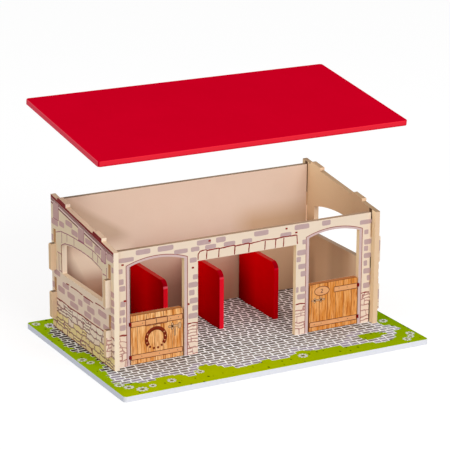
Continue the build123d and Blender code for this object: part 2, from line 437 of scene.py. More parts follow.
# %% [markdown]
# ## The printed masonry
# The outside of the walls is printed: cream render, a low course of rubble stones
# with drawn outlines and, on the doorways, a lilac frame with an oxblood line. The
# rubble uses the rows of stones from above, with more wave, and lets some stones fill
# a row alone while others are split in two. The loose bricks are separate inks, made
# further on, because each has its own place.

# %% Masonry
cream = ink(245, 227, 206), ink(239, 217, 195)
side_cream = ink(253, 229, 206), ink(245, 218, 194)
high_cream = ink(250, 230, 198), ink(242, 218, 184)
front_stone = ink(248, 228, 210), ink(241, 217, 198)
side_stone = ink(255, 240, 216), ink(252, 226, 206)
ochre_stone = ink(255, 233, 166), ink(246, 214, 156)
lilac = ink(220, 194, 191), ink(212, 184, 181)
mortar_lilac = ink(216, 188, 178)
frame_oxblood = ink(150, 62, 54)
thin_oxblood = ink(164, 82, 74)
oxblood = ink(118, 34, 30)
plum_line = ink(122, 26, 32)
umber = ink(122, 76, 66)

rubble_top = 46.5
rubble_row = rubble_top / 5
far_away = 99


def rubble(finish, across, upper_inks, lower_inks, pen, length, lean, pen_width, mortar):
    """Rough stones in wavy rows, each with a drawn outline."""
    stones = Courses(finish, across, finish.height, length, rubble_row, wave=9.0, lean=lean, seed=2.5)
    from_middle = abs(stones.in_row - 0.5) * rubble_row
    unsplit = stones.tint.rise(0.36, 0.01) * far_away
    to_bed = stones.to_bed.least(from_middle + unsplit)
    to_joint = to_bed.maths("SMOOTH_MIN", stones.to_head, 1.6)
    mortar = finish.clouds(6, 1) * mortar
    upper = ((stones.row + 0.5) * rubble_row + (stones.tint - 0.5) * 9).rise(25, 1)
    return finish.coats(
        finish.mix(stones.tint, *lower_inks),
        (upper, finish.mix(stones.tint, *upper_inks)),
        (finish.clouds(5).rise(0.55, 0.2) * 0.25, upper_inks[1]),
        (to_joint.fall(mortar, 0.3), mortar_lilac),
        (abs(to_joint - mortar).fall(pen_width / 2, 0.3), pen),
    )


def render_coat(finish, pale, shade):
    """Cream render with soft clouds and fine grain."""
    return finish.mix(finish.clouds(38, 3) * 0.7 + finish.clouds(1.1, 1) * 0.3, pale, shade)


def printed_board(finish, depth, bare, fibres, skin):
    """Close a wall's material: print on its outer face, bare board elsewhere."""
    printed = depth.fall(skin_depth, skin_soft)
    grain = finish.clouds(0.7)
    roughness = printed * -0.22 + 0.62 + (grain - 0.5) * 0.12
    bump = fibres * (1 - printed) + grain * 0.3
    colour = finish.mix(printed, bare, skin)
    return finish.surface(colour, roughness, bump=bump, depth=0.04, shine=0.03)


# %% Front wall
doorway_centre = 141.0
doorway_half = 83.5 / 2
doorway_spring = 142.6
doorway_rise = 7.2
frame_width = 5.4
frame_crown = 4.0
frame_line = 1.0
hook_tops = (56.7, 128.7)
doorway_reveal = ink(250, 222, 176), ink(255, 236, 194)
# The front wall's top edge is painted darker, as painted shade.
front_crown_shade = ink(164, 138, 110)


def inside_frame(finish):
    """How far inside the lilac frame's outer edge a point lies, in millimetres."""
    radius = (doorway_half**2 + doorway_rise**2) / (2 * doorway_rise)
    arc_centre = doorway_spring + doorway_rise - radius
    u = abs(abs(finish.x) - doorway_centre)
    v = finish.height - arc_centre
    from_arc = radius + frame_crown - (u * u + v * v).maths("SQRT")
    return (doorway_half + frame_width - u).least(from_arc)


def front_print(finish):
    """Cream render over rubble, with a lilac frame round each doorway."""
    looks = front_stone, front_stone, thin_oxblood
    stones = rubble(finish, finish.x, *looks, length=17, lean=24, pen_width=0.5, mortar=0.8)
    inside = inside_frame(finish)
    return finish.coats(
        render_coat(finish, *cream),
        # Painted shade where the front wall meets the left wall.
        (finish.x.within(-half_width + board, -197, 5) * 0.15, umber),
        (finish.height.fall(rubble_top, 0.2), stones),
        (inside.rise(0, 0.15), frame_oxblood),
        (inside.rise(frame_line, 0.15), finish.speckle(*lilac, 20)),
    )


def cross_wall_bare(finish, depth, name, crown_shade_ink, reveal_inks):
    """Bare board of a cross wall, whose ends pass through the side walls as hooks."""
    fibres = board_fibres(finish)
    crown = finish.z.rise(board_box(name)[1].z - 0.15, 0.1)
    outside = abs(finish.x).rise(half_width, 0.5)
    for top in hook_tops:
        crown = crown.most(finish.height.within(top - 0.15, top + 0.1, 0.1) * outside)
    # At the ends, in the slots and out as hooks, the faces are painted lighter, as painted light, and
    # the sawn edges darker, as painted shade.
    ends = abs(finish.x).rise(half_width - board - 2, 0.5)
    broad = finish.mix(ends, stall_face(finish, fibres), hook_painted_light)
    end_inks = [finish.mix(ends, reveal, sawn_end_shade) for reveal in reveal_inks]
    return bare_board(finish, depth, broad, fibres, end_inks, crown, crown_shade_ink), fibres


def front_wall_finish():
    finish = Finish("front_wall_finish")
    depth = finish.y - front_face_y
    bare, fibres = cross_wall_bare(finish, depth, "front_wall", front_crown_shade, doorway_reveal)
    return printed_board(finish, depth, bare, fibres, front_print(finish))


dress("front_wall", front_wall_finish())

# %% [markdown]
# ## The side walls' print
# Under the sloping top edge runs an oxblood band, then a plum fascia with thin
# drawn lines. Both follow the slope, so they are worked out from the distance below
# it. The rubble is yellower here than in front, and dark along its foot. The back
# wall has the same print without the bands.

# %% Side and back walls
red_band = 3.6
fascia_depth = 8.6
tick_pitch = 3.2
band_red = ink(150, 30, 28), ink(112, 16, 18)
fascia_plum = ink(214, 184, 180), ink(198, 166, 164)
fascia_pale = ink(246, 222, 208)
fascia_lines = (
    (0.7, 0.5, fascia_pale),
    (1.4, 1.3, oxblood),
    (2.6, 0.5, fascia_pale),
    (3.3, 1.1, oxblood),
    (5.3, 1.7, fascia_pale),
    (7.8, 1.8, oxblood),
)
# The back wall's top edge is painted darker, as painted shade.
back_crown_shade = ink(140, 122, 98)
bump_fronts_y = (-35.0, 83.0)
sill_height = 89.0
window_span = (-37.0, 99.0)


def side_ground(finish, across):
    """Cream render over rubble, whose lower stones are yellow."""
    looks = side_stone, ochre_stone, plum_line
    stones = rubble(finish, across, *looks, length=21, lean=44, pen_width=0.7, mortar=1.2)
    foot = finish.height.fall(1.1, 0.4)
    return finish.coats(
        render_coat(finish, *side_cream),
        (finish.height.rise(95, 40), render_coat(finish, *high_cream)),
        (finish.height.fall(rubble_top, 0.2), finish.mix(foot * 0.7, stones, plum_line)),
    )


def below_slope(finish):
    """How far a point lies below the sloping top edge, in millimetres."""
    return (finish.y - side_low.y) * slope + eaves_z - finish.z


def side_bands(finish, skin):
    """The band and the fascia along the sloping edge, over the rest of the print."""
    below = below_slope(finish)
    sway = (finish.clouds(14) - 0.5) * 0.9
    ticks = ((finish.y + below * 1.5) / tick_pitch).split()[1].rise(0.86, 0.1)
    middles = [(red_band + depth + sway, width / 2, pen) for depth, width, pen in fascia_lines]
    return finish.coats(
        skin,
        (below.fall(red_band + fascia_depth + sway, 0.3), finish.speckle(*fascia_plum, 12)),
        *((below.within(middle - half, middle + half, 0.3), pen) for middle, half, pen in middles),
        (ticks * below.within(red_band, red_band + 3.0, 0.3) * 0.55, umber),
        (below.fall(red_band + sway * 0.5, 0.3), finish.speckle(*band_red, 9)),
    )


def side_wall_finish(name, side, sawn_inks, crown_shade_ink, sill_shade_ink, streaky):
    """Side is -1 on the left and 1 on the right; the right wall's bare edges get darker inks, as
    painted shade.
    """
    finish = Finish(f"{name}_finish")
    depth = half_width - finish.x * side
    below = below_slope(finish)
    crown = below.fall(0.3, 0.2)
    for y in bump_fronts_y:
        bump_front = finish.y.within(y - 0.9, y + 0.4, 0.2) * below.fall(-0.5, 0.3)
        crown = crown * (1 - bump_front)
    sill = finish.height.within(sill_height - 0.3, sill_height + 0.3, 0.1)
    sill = sill * finish.y.within(*window_span, 0.5)
    fibres = board_fibres(finish)
    inner = inner_side_face(finish, fibres)
    # The slots' sawn reveals are painted a deeper tan, as painted shade.
    slots = [finish.y.within(wall - 1, wall + board + 1, 0.2) for wall in cross_walls_y]
    in_slot = slots[0].most(slots[1])
    sawn_inks = [finish.mix(in_slot, sawn, slot_shade_tan) for sawn in sawn_inks]
    crown_shade_ink = finish.mix(sill, crown_shade_ink, sill_shade_ink)
    bare = bare_board(finish, depth, inner, fibres, sawn_inks, crown.most(sill), crown_shade_ink, streaky)
    skin = side_bands(finish, side_ground(finish, finish.y))
    return printed_board(finish, depth, bare, fibres, skin)


def back_wall_finish():
    finish = Finish("back_wall_finish")
    depth = back_face_y - finish.y
    bare, fibres = cross_wall_bare(finish, depth, "back_wall", back_crown_shade, sawn_edge)
    return printed_board(finish, depth, bare, fibres, side_ground(finish, finish.x))


# The side walls are one board, but their sawn edges, top edges and sills are painted lighter on the
# left and darker on the right, as painted light and shade.
left_look = {
    "sawn_inks": (ink(248, 227, 200), ink(255, 239, 218)),
    "crown_shade_ink": ink(238, 212, 180),
    "sill_shade_ink": ink(232, 208, 176),
    "streaky": 0.25,
}
right_look = {
    "sawn_inks": (ink(232, 196, 160), ink(241, 209, 176)),
    "crown_shade_ink": ink(176, 150, 116),
    "sill_shade_ink": ink(172, 150, 126),
    "streaky": 0.5,
}
dress("left_side_wall", side_wall_finish("left_side_wall", -1, **left_look))
dress("right_side_wall", side_wall_finish("right_side_wall", 1, **right_look))
dress("back_wall", back_wall_finish())

# %% [markdown]
# ## The base board's print
# Cobbles run under the whole house and a little way out of it, and end in a ragged
# border, stone by stone. The rest is grass. The cobbles are the rows of stones from
# above, laid flat. Because a point knows the middle of its stone, the border can be
# tested there, so whole stones come and go.

# %% Grass and cobbles
cobble_row = 8.0
cobble_length = 14.5
cobble_joint = 1.95
stone_brown, stone_grey = ink(78, 67, 59), ink(126, 117, 106)
stone_dim = ink(120, 104, 98)
stone_dark = ink(58, 46, 40)
stone_pale = ink(158, 148, 142)
rim_lilac = ink(166, 156, 178)
corner_blue = ink(186, 192, 204)
joint_white = ink(250, 253, 252)
grass_yellow, grass_green = ink(176, 192, 0), ink(128, 168, 0)
# Brighter greens for the grass beside the left wall, as painted light.
left_green, left_lime = ink(144, 174, 0), ink(162, 200, 10)
grass_olive = ink(150, 160, 0)
grass_dark = ink(66, 86, 4)
blade_spacing = 15
edge_white = ink(246, 247, 252), ink(232, 234, 243)
side_white = ink(238, 243, 255), ink(229, 234, 249)

front_border = (
    (-240, -104), (-226, -112), (-205, -124), (-180, -127), (-150, -121), (-136, -126),
    (-127, -138), (-112, -118), (-95, -111), (-72, -114), (-62, -136), (-35, -142),
    (-18, -131), (30, -136), (50, -122), (75, -128), (120, -132), (150, -140),
    (195, -141), (206, -130), (221, -108), (240, -96),
)
left_border = (
    (-130, -222), (-100, -227), (-85, -229), (-66, -224), (-45, -215), (-20, -213), (3, -213),
    (14, -223), (45, -230), (75, -224), (90, -231), (112, -226), (128, -217), (142, -219),
)
right_border_x, right_border_front_x = 212.0, 222.0
back_border_y = 143.0
island_centre = (171.0, -115.0)
island_half = (20.0, 10.5)
curve_span = 500.0


def border(finish, along, corners):
    """How far out the border lies at each place along the board's edge."""
    knots = [((u + curve_span / 2) / curve_span, v / curve_span) for u, v in corners]
    share = (along + curve_span / 2) / curve_span
    return finish.node("ShaderNodeFloatCurve", {"curve": knots}, Value=share)["Value"] * curve_span


def inside_border(finish, x, y):
    """How far a point lies inside the cobbled ground, in millimetres, about."""
    right_x = y.fall(-82, 20) * (right_border_front_x - right_border_x) + right_border_x
    inside = (y - border(finish, x, front_border)).least(x - border(finish, y, left_border))
    inside = inside.least(right_x - x).least(back_border_y - y)
    across = (x - island_centre[0]) / island_half[0]
    along = (y - island_centre[1]) / island_half[1]
    island = (across * across + along * along).maths("SQRT") - 1
    return inside.least(island * island_half[1])


def cobbles(finish):
    """Colour of the cobbles, and 1 where they lie."""
    x, y = finish.x, finish.y
    stones = Courses(finish, x, y, cobble_length, cobble_row, wave=2.2, lean=0, seed=0.0)
    worn = (finish.clouds(3.2) - 0.5) * 1.5
    joints = ((stones.to_bed * 0.85).least(stones.to_head) + worn).fall(cobble_joint / 2, 0.6)
    streaks = finish.clouds(1.6, stretch=(0.35, 1, 1))
    at_left = x.fall(-200, 12) * y.rise(-75, 20)
    elsewhere = 1 - at_left
    stone_x = x + (0.5 - stones.in_stone) * cobble_length
    stone_y = y + (0.5 - stones.in_row) * cobble_row
    by_stone = inside_border(finish, stone_x, stone_y)
    by_point = inside_border(finish, x, y)
    ragged = (finish.clouds(4) - 0.5) * 5 + (stones.tint - 0.5) * 7
    rim = by_stone.fall(15, 10) * finish.clouds(20, 1).rise(0.46, 0.12) * elsewhere
    corner = x.rise(203, 24) * by_stone.fall(26, 12)
    colour = finish.coats(
        finish.mix(stones.tint * 0.7 + streaks * 0.3, stone_brown, stone_grey),
        (finish.clouds(45).rise(0.5, 0.3) * 0.3, stone_dim),
        (at_left * 0.85, stone_dark),
        (y.rise(-30, 70) * elsewhere * 0.3, stone_dark),
        (y.fall(-84, 40) * 0.55, stone_pale),
        (rim * 0.75, rim_lilac),
        (corner * 0.6, corner_blue),
        (joints, joint_white),
    )
    return colour, (by_stone * 0.6 + by_point * 0.4 + ragged).rise(0, 0.8)


def grass(finish):
    """Green that turns yellow to the front, with short dark blades."""
    x, y = finish.x, finish.y
    spread = finish.vector("MULTIPLY", finish.place, (1, 0.7, 1))
    cells = {"Scale": 1 / blade_spacing, "Randomness": 1.0}
    blades = finish.node("ShaderNodeTexVoronoi", {"voronoi_dimensions": "2D"}, spread, **cells)
    blade_size = finish.node("ShaderNodeSeparateColor", {}, blades["Color"])["Red"]
    blade = (blades["Distance"] * blade_spacing).fall(blade_size * 1.8, 0.5)
    return finish.coats(
        finish.mix((x * 0.6 + y).rise(-60, 260), grass_yellow, grass_green),
        # Painted light: beside the left wall the grass is given brighter greens.
        (x.fall(-198, 14) * y.rise(-138, 40), finish.mix(y.rise(-70, 170), left_green, left_lime)),
        (finish.clouds(30) * 0.35, grass_olive),
        (blade * 0.9, grass_dark),
    )


def base_finish():
    finish = Finish("base_board_finish")
    stones, is_cobbled = cobbles(finish)
    printed = finish.mix(is_cobbled, grass(finish), stones)
    on_side = abs(finish.x).rise(base_high.x - 0.3, 0.1)
    edge = finish.mix(on_side, finish.speckle(*edge_white, 4), finish.speckle(*side_white, 4))
    top = finish.z.rise(floor_z - 0.35, 0.1)
    grain = finish.clouds(1.4)
    roughness = 0.30 + (grain - 0.5) * 0.10 + (1 - top) * 0.25
    colour = finish.mix(top, edge, printed)
    return finish.surface(colour, roughness, bump=grain, depth=0.02, shine=0)


dress("base_board", base_finish())
print("base board: cobbles", cobble_length, "by", cobble_row, "mm")

# %% [markdown]
# ## The doors' print
# The half-doors are printed as planks: each plank has its own tint and dark grain
# that runs up and down. A plank's number comes from dividing the place across the
# door by the plank's width, and a random number for each gives the tint. Inside, the
# doors are bare.

# %% Printed planks
plank_width = 13.4
first_plank = 104.6
plank_joint = 0.7
plank_deep = ink(216, 126, 30)
grain_dark = ink(184, 92, 20)
joint_brown = ink(128, 62, 34)
# A dark rim for the doors' printed faces: painted shade of the gap round each door at its sides, and a
# dark outline at its top.
rim_line_and_gap_shade = ink(110, 54, 24)
door_edge = ink(184, 118, 66), ink(160, 98, 50)
door_height = door_high.z - floor_z
door_near, door_far = sorted(abs(corner.x) for corner in board_box("left_door"))


def planks(finish, seed, light, warm):
    """Colour of printed planks, and their grain."""
    z = finish.z
    across = abs(finish.x) + (finish.noise((seed, 0.0, z), 30, 1.0) - 0.5) * 0.8
    number, share = ((across - first_plank) / plank_width).split()
    shift = number * 41 + seed
    grain = finish.noise((across, z * 0.05, shift), 1.2, 2.0, 0.6)
    broad = finish.noise((across, z * 0.12, shift), 5.0)
    streaks = finish.noise((across, z * 0.03, shift + 9), 0.9, 1.0)
    faded = finish.noise((number * 7, seed, z), 14, 1.0).rise(0.35, 0.2)
    colour = finish.coats(
        finish.mix(finish.dice(number + seed) * 0.6, light, warm),
        (broad.rise(0.53, 0.12) * 0.6, plank_deep),
        (streaks.rise(0.54, 0.1) * 0.55, plank_deep),
        (grain.rise(0.57, 0.06) * 0.75, grain_dark),
        (share.to_ends(plank_width).fall(plank_joint / 2, 0.25) * faded, joint_brown),
    )
    return colour, grain


def door_finish(name, seed, light, warm):
    finish = Finish(f"{name}_finish")
    wood, grain = planks(finish, seed, light, warm)
    across = abs(finish.x)
    to_edge = (across - door_near).maths("SMOOTH_MIN", door_height - finish.height, 3.5)
    # Painted shade of the gap at the door's sides, and a dark outline along its top.
    wood = finish.mix(to_edge.least(door_far - across).fall(0.7, 0.4), wood, rim_line_and_gap_shade)
    fibres = board_fibres(finish)
    inner = finish.y.rise(front_face_y + board - 0.25, 0.1)
    bare = finish.mix(inner, finish.mix(fibres, *door_edge), finish.mix(fibres, *cross_face))
    mask = finish.y.fall(front_face_y + 0.25, 0.1)
    roughness = mask * -0.2 + 0.6 + (grain - 0.5) * 0.15
    bump = grain * mask * 0.4 + fibres * (1 - mask)
    colour = finish.mix(mask, bare, wood)
    return finish.surface(colour, roughness, bump=bump, depth=0.04, shine=0.05)


for name, seed, light, warm in (
    ("left_door", 3.3, ink(255, 208, 152), ink(255, 190, 120)),
    ("right_door", 8.7, ink(246, 182, 116), ink(236, 158, 82)),
):
    dress(name, door_finish(name, seed, light, warm))

# %% [markdown]
# ## Red paint, red plastic and steel
# The roof and the dividers are sprayed with a red lacquer. Spraying leaves a fine
# orange-peel ripple and a few specks of dust, which break the highlights up a
# little. The hinges are moulded in red and turn on steel pins.

# %% Paint, plastic and steel
roof_thickness = 8.0
roof_red = ink(213, 0, 36), ink(205, 0, 32)
# The roof's edges are painted lighter, as painted light.
roof_edge_light = ink(243, 42, 60), ink(228, 24, 48)
roof_side_light = ink(244, 84, 100)
divider_red = ink(230, 0, 8), ink(216, 0, 4)
# Painted shade for the dividers' faces, towards the front, the corner and the foot.
shade_red, foot_red = ink(110, 0, 0), ink(90, 0, 0)
nose_radius = 12.0
# Painted shade on the dividers' noses and tops.
nose_dark = ink(158, 0, 18)
top_shade_red = ink(172, 54, 48)
dust_pink = ink(226, 60, 70)
plastic_red = ink(140, 4, 16), ink(112, 2, 10)
steel_grey = ink(150, 150, 152), ink(190, 190, 192)

# For each divider: its front edge's ink and its nose's painted highlight, both painted light, and the
# strength of its two painted shades.
divider_looks = {
    "left_divider": (ink(246, 20, 42), ink(250, 120, 142), 0.75, 0.45),
    "middle_divider": (ink(230, 22, 44), ink(244, 70, 92), 0.6, 0.45),
    "right_divider": (ink(210, 0, 16), ink(236, 10, 56), 0.2, 1.0),
}


def sprayed(finish, paint, roughness):
    """Close a lacquered material: ripple, dust and a dull gloss."""
    peel = finish.clouds(1.6)
    dust = finish.clouds(0.8, 1).rise(0.76, 0.02)
    paint = finish.mix(dust * 0.3, paint, dust_pink)
    gloss = roughness + (finish.clouds(70, 3) - 0.5) * 0.08
    return finish.surface(paint, gloss, bump=peel + dust, depth=0.03, shine=0)


def roof_paint():
    """Crimson, painted lighter on the front and side edges, as painted light."""
    finish = Finish("roof_paint")
    low, high = board_box("roof_panel")
    above_foot = finish.z - low.z - (finish.y - low.y) * slope
    from_front = finish.y - low.y + (above_foot - roof_thickness) * slope
    paint = finish.coats(
        finish.speckle(*roof_red, 70),
        (from_front.fall(0.5, 0.3), finish.mix(above_foot.fall(1.8, 1.5), *roof_edge_light)),
        (abs(finish.x).rise(high.x - 0.6, 0.3), roof_side_light),
    )
    return sprayed(finish, paint, roughness=0.36)


def divider_paint(name):
    """Painted light and shade: a lighter front edge with a painted highlight, a dark nose and a darker
    top, and a face darker towards the front, the floor and the stall's corner.
    """
    finish = Finish(f"{name}_paint")
    crimson, nose_highlight, front_shade, corner_shade = divider_looks[name]
    low, high = board_box(name)
    in_front = finish.y.fall(32, 60)
    in_corner = finish.y.rise(92, 56) * finish.height.fall(62, 70)
    round_nose = ((finish.y - low.y) + (finish.z - high.z) + nose_radius) / nose_radius
    # The rim's dark nose and darker top are painted shade; its front edge and the highlight on it are
    # painted light.
    rim = finish.coats(
        finish.mix(round_nose.rise(1.8, 0.4), nose_dark, top_shade_red),
        (round_nose.fall(0.25, 0.2), crimson),
        (round_nose.within(0.04, 0.34, 0.14) * 0.6, nose_highlight),
    )
    on_rim = abs(finish.x - (low.x + high.x) / 2).fall(board / 2 - 0.25, 0.2)
    paint = finish.coats(
        finish.speckle(*divider_red, 50),
        ((in_front * front_shade).most(in_corner * corner_shade), shade_red),
        (finish.height.fall(8, 30) * 0.3, foot_red),
        (on_rim, rim),
    )
    return sprayed(finish, paint, roughness=0.3)


def moulded_red():
    finish = Finish("hinge_plastic")
    clouds = finish.clouds(3)
    paint, gloss = finish.mix(clouds, *plastic_red), 0.32 + clouds * 0.1
    return finish.surface(paint, gloss, bump=clouds, depth=0.01, shine=0.1)


def pin_steel():
    finish = Finish("pin_steel")
    drawn = finish.clouds(0.4, stretch=(1, 1, 0.1))
    return finish.surface(finish.mix(drawn, *steel_grey), 0.3 + drawn * 0.2, Metallic=1.0)


dress("roof_panel", roof_paint())
hinge_plastic, hinge_steel = moulded_red(), pin_steel()
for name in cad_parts:
    if name.endswith("_leaf"):
        dress(name, hinge_plastic)
    elif name.endswith("_pin"):
        dress(name, hinge_steel)
    elif name.endswith("_divider"):
        dress(name, divider_paint(name))

# %% [markdown]
# ## Inks as thin sheets
# Loose bricks, drawn lines, door straps and daisies each have their own place, so
# they are laid on as inks: closed sheets a few hundredths of a millimetre thick,
# sunk a little into the board. Geometry Nodes repeat one shape at many points. The
# points come from a plain list, and each carries its own length and height.

# %% A tree of geometry nodes


class Pattern(Graph):
    """A Geometry Nodes tree with named sizes; it ends in one material."""

    def __init__(self, name, **sizes):
        super().__init__(bpy.data.node_groups.new(name, "GeometryNodeTree"))
        face = self.tree.interface
        face.new_socket("Shape", in_out="INPUT", socket_type="NodeSocketGeometry")
        face.new_socket("Material", in_out="INPUT", socket_type="NodeSocketMaterial")
        for size, value in sizes.items():
            face.new_socket(size, in_out="INPUT", socket_type="NodeSocketFloat").default_value = value
        face.new_socket("Shape", in_out="OUTPUT", socket_type="NodeSocketGeometry")
        self.given = self.node("NodeGroupInput", {})
        self.place = self.node("GeometryNodeInputPosition", {})["Position"]

    def carried(self, name):
        """A number that each start point carries."""
        return self.node("GeometryNodeInputNamedAttribute", {"data_type": "FLOAT"}, name)["Attribute"]

    def moved(self, shape, offset):
        return self.shape("SetPosition", {}, shape, Offset=offset)

    def wobbled(self, shape, size):
        """Shake a shape sideways, as a hand does, by about the pattern's Wobble."""
        amount = self.given["Wobble"]
        shake = self.node("ShaderNodeTexNoise", {}, self.place, Scale=1 / size, Detail=1.0)["Color"]
        shake = self.vector("SUBTRACT", shake, (0.5, 0.5, 0.5))
        return self.moved(shape, self.vector("MULTIPLY", shake, (amount, amount)))

    def on_points(self, shape, **named):
        """Put a shape on every start point."""
        spread = self.given["Shape"]
        laid = self.shape("InstanceOnPoints", {}, spread, Instance=shape, **named)
        return self.shape("RealizeInstances", {}, laid)

    def thickened(self, flat):
        """Give flat faces a thickness and a closed underside."""
        flat = self.moved(flat, (0, 0, self.given["Sunk"] * -1))
        sizes = {"Offset_Scale": self.given["Thickness"], "Individual": False}
        raised = self.shape("ExtrudeMesh", {}, flat, **sizes)
        under = self.shape("FlipFaces", {}, flat)
        both = self.shape("JoinGeometry", {}, [raised, under])
        return self.shape("MergeByDistance", {}, both, Distance=0.001)

    def close(self, shape):
        shape = self.shape("RealizeInstances", {}, shape)
        shape = self.shape("SetMaterial", {}, shape, Material=self.given["Material"])
        self.node("NodeGroupOutput", {}, shape)
        return self


def points(rows, names=("length", "height")):
    """A start mesh of points; what follows a point's place is kept under its name."""
    mesh = bpy.data.meshes.new("start")
    mesh.from_pydata([(row[0], row[1], 0) for row in rows], [], [])
    for column, name in enumerate(names, 2):
        carried = mesh.attributes.new(name, "FLOAT", "POINT")
        carried.data.foreach_set("value", [row[column] for row in rows])
    return mesh


def paths(lines):
    """A start mesh of open lines through the points."""
    corners, edges = [], []
    for line in lines:
        first = len(corners)
        corners += [(u, v, 0) for u, v in line]
        edges += [(k, k + 1) for k in range(first, len(corners) - 1)]
    mesh = bpy.data.meshes.new("start")
    mesh.from_pydata(corners, edges, [])
    return mesh


def grow(name, start, pattern, material, sheet, **sizes):
    """Run a pattern, keep the result as a plain mesh and carry it to its board."""
    carry, body, slot = sheet
    piece = put(name, start)
    modifier = piece.modifiers.new(name, "NODES")
    modifier.node_group = pattern.tree
    sizes["Material"] = material
    for socket in pattern.tree.interface.items_tree:
        if socket.in_out == "INPUT" and socket.name in sizes:
            modifier[socket.identifier] = sizes[socket.name]
    finished = piece.evaluated_get(bpy.context.evaluated_depsgraph_get())
    mesh = bpy.data.meshes.new_from_object(finished)
    piece.modifiers.clear()
    piece.data = mesh
    mesh.transform(carry)
    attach(piece, body)
    print(f"{name}: {len(mesh.polygons)} faces")


# %% Where each printer's sheet goes


def on_board(across, origin, body="house", slot="printed_board", up=(0, 0, 1)):
    """How a sheet in millimetres gets to its board in metres, and what it rides."""
    across, up = Vector(across), Vector(up)
    turn = Matrix((across, up, across.cross(up))).transposed().to_4x4()
    return Matrix.Scale(mm, 4) @ Matrix.Translation(origin) @ turn, body, slot


front = on_board((1, 0, 0), (0, front_face_y, floor_z))
left = on_board((0, -1, 0), (-half_width, 0, floor_z))
right = on_board((0, 1, 0), (half_width, 0, floor_z))
back = on_board((-1, 0, 0), (0, back_face_y, floor_z))
ground = on_board((1, 0, 0), (0, 0, floor_z), slot="printed_base", up=(0, 1, 0))
doors = {
    side: on_board((1, 0, 0), (0, door_low.y, floor_z), f"{side}_door", "printed_door")
    for side in ("left", "right")
}

# %% Patterns for patches and for drawn lines


def patch_pattern():
    """Rounded patches of ink, each with its own length and height."""
    patches = Pattern("ink_patches", Thickness=0.07, Sunk=0.02, Wobble=0.9, Square=0.35)
    disc = patches.shape("MeshCircle", {"fill_type": "NGON"}, 28, 0.5)
    squared = [
        abs(axis * 2).maths("POWER", patches.given["Square"]) * axis.maths("SIGN") * 0.5
        for axis in patches.axes(patches.place)[:2]
    ]
    patch = patches.shape("SetPosition", {}, disc, Position=tuple(squared))
    size = (patches.carried("length"), patches.carried("height"), 1.0)
    laid = patches.wobbled(patches.on_points(patch, Scale=size), 5.0)
    return patches.close(patches.thickened(laid))


def line_pattern():
    """Drawn lines of uneven width."""
    lines = Pattern("ink_lines", Width=0.8, Height=0.12, Rise=0.02, Step=1.6, Wobble=0.8, Uneven=1.2)
    given = lines.given
    path = lines.shape("MeshToCurve", {}, given["Shape"])
    path = lines.shape("ResampleCurve", {"mode": "LENGTH"}, path, Length=given["Step"])
    path = lines.wobbled(path, 6.0)
    path = lines.shape("SetCurveNormal", {"mode": "Z_UP"}, path)
    nib = {size: given[size] for size in ("Width", "Height")}
    nib = lines.shape("CurvePrimitiveQuadrilateral", {}, **nib)
    press = (lines.noise(lines.place, 7, 1.0) - 0.5) * given["Uneven"] + 1
    drawn = lines.shape("CurveToMesh", {}, path, nib, Scale=press, Fill_Caps=True)
    return lines.close(lines.moved(drawn, (0, 0, given["Rise"])))


patches = patch_pattern()
lines = line_pattern()
print("patterns:", patches.tree.name, lines.tree.name)

# %% Plain inks


def plain_ink(name, colour, other, roughness=0.42):
    """A printed colour: slightly cloudy, with a fine grain."""
    finish = Finish(name)
    grain = finish.clouds(0.7)
    tint = finish.speckle(ink(*colour), ink(*other), 7)
    roughness = roughness + (grain - 0.5) * 0.12
    return finish.surface(tint, roughness, bump=grain, depth=0.02, shine=0.03)


plum_brick = plain_ink("plum_brick_ink", (203, 176, 174), (190, 160, 160))
rose_brick = plain_ink("rose_brick_ink", (216, 178, 172), (204, 164, 158))
oxblood_line = plain_ink("oxblood_line_ink", (164, 34, 26), (126, 22, 20))
umber_line = plain_ink("umber_line_ink", (186, 112, 130), (160, 92, 112))

# %% [markdown]
# ## Loose bricks
# The render has broken away in the drawing, and bricks show in rows, plum in front
# and rose on the sides. Each row below gives its lower and upper edge and then where
# its bricks start and end. The two side walls carry the same print, mirrored.

# %% Rows of bricks
front_bricks = (
    (157.5, 165, ((-173, -151), (-140, -116), (-80, -58), (-50, -35), (10, 33), (75, 99), (120, 134))),
    (150, 156.5, ((-199, -176), (-115, -94), (-89, -76), (-67, -50), (-38, -20), (-9, 7), (52, 70))),
    (150, 156.5, ((183, 203),)),
    (106, 123, ((214.2, 218.4),)),
    (32, 48, ((214.2, 218.4),)),
    (134.5, 141.5, ((-199, -193), (-91, -80), (88, 94.5), (191, 198))),
    (119, 127, ((-199, -191.5), (80, 94.5), (191, 203))),
    (109.5, 117, ((-198, -189), (-86, -78.5), (79, 86), (191, 198))),
    (98.5, 106, ((-93, -78.5), (82, 94.5), (191, 203))),
    (87, 95, ((-197, -189), (-92, -83.5), (86, 94.5), (191, 197))),
    (75, 83, ((-198, -190), (-91, -78.5), (191, 203))),
    (64, 72, ((-199, -195.5), (-193.5, -189), (-87, -78.5), (79, 83), (86, 94.5), (197, 203))),
    (53, 61, ((-198, -189), (-93, -78.5), (81, 94.5), (191, 202))),
)
side_bricks = (
    (155.5, 164, ((110, 133),)), (159, 167, ((89, 106),)), (166.5, 174.5, ((61, 84),)),
    (158, 166, ((43, 64), (-6, 18))), (154, 164, ((-31, -12), (-72, -50))),
    (130, 140, ((128, 134),)), (140, 148, ((-72, -66),)), (82, 90, ((106, 127), (-73, -62))),
    (70.5, 78, ((76, 98), (5, 27), (-73, -63))), (66.5, 75, ((-48, -21),)),
    (60, 69, ((126, 134), (91, 114), (56, 82), (31, 45), (-9, 15), (-73, -62))),
    (50, 58, ((45, 73), (2, 25), (-28, -5), (-60, -37))), (105, 113, ((-73, -62),)),
    (92.5, 101.5, ((-73, -64),)),
)
back_row_heights = range(52, 184, 11)
back_first, back_last = -200, 175
back_brick_lengths = (16, 25)
